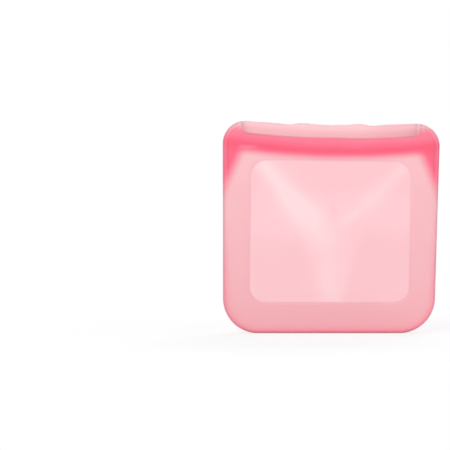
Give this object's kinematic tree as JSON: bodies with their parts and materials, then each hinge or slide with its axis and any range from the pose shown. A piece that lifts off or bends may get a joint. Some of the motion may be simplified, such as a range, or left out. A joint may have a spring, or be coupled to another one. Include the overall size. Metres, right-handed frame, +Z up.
{
  "type": "reusable silicone bag",
  "caption": "Flat reusable food storage bag in translucent pink silicone: rounded bonded edge, recessed window walls, solid mouth corners and a press seal below soft lips.",
  "frame": {"origin": "middle of the flat bottom edge that the empty bag stands on", "axes": "+X to the right across the bag seen from the front, -Y out of the front wall, +Z up towards the mouth"},
  "size_m": [0.19, 0.0226, 0.1848],
  "materials": {
    "wall_silicone": "frosted translucent",
    "window_silicone": "frosted translucent",
    "seal_silicone": "frosted translucent",
    "lip_silicone": "frosted translucent"
  },
  "bodies": {
    "edge": {"front_edge": "wall_silicone", "back_edge": "wall_silicone", "edge_bond": "wall_silicone", "corner_closure_left": "seal_silicone", "corner_closure_right": "seal_silicone"},
    "front_wall": {"front_border": "wall_silicone", "front_window": "window_silicone", "front_collar": "seal_silicone", "front_seal_rib": "seal_silicone", "front_lip": "lip_silicone"},
    "back_wall": {"back_border": "wall_silicone", "back_window": "window_silicone", "back_collar": "seal_silicone", "back_seal_rail_upper": "seal_silicone", "back_seal_rail_lower": "seal_silicone", "back_lip": "lip_silicone"}
  },
  "joints": [
    {"name": "front_wall_open", "type": "hinge", "parent": "edge", "child": "front_wall", "pos_m": [0, -0.0072, 0.0095], "axis": [1, 0, 0], "range_deg": [0, 9], "stiffness_Nm_per_rad": 0.3},
    {"name": "back_wall_open", "type": "hinge", "parent": "edge", "child": "back_wall", "pos_m": [0, 0.0072, 0.0095], "axis": [-1, 0, 0], "range_deg": [0, 9], "stiffness_Nm_per_rad": 0.3}
  ]
}
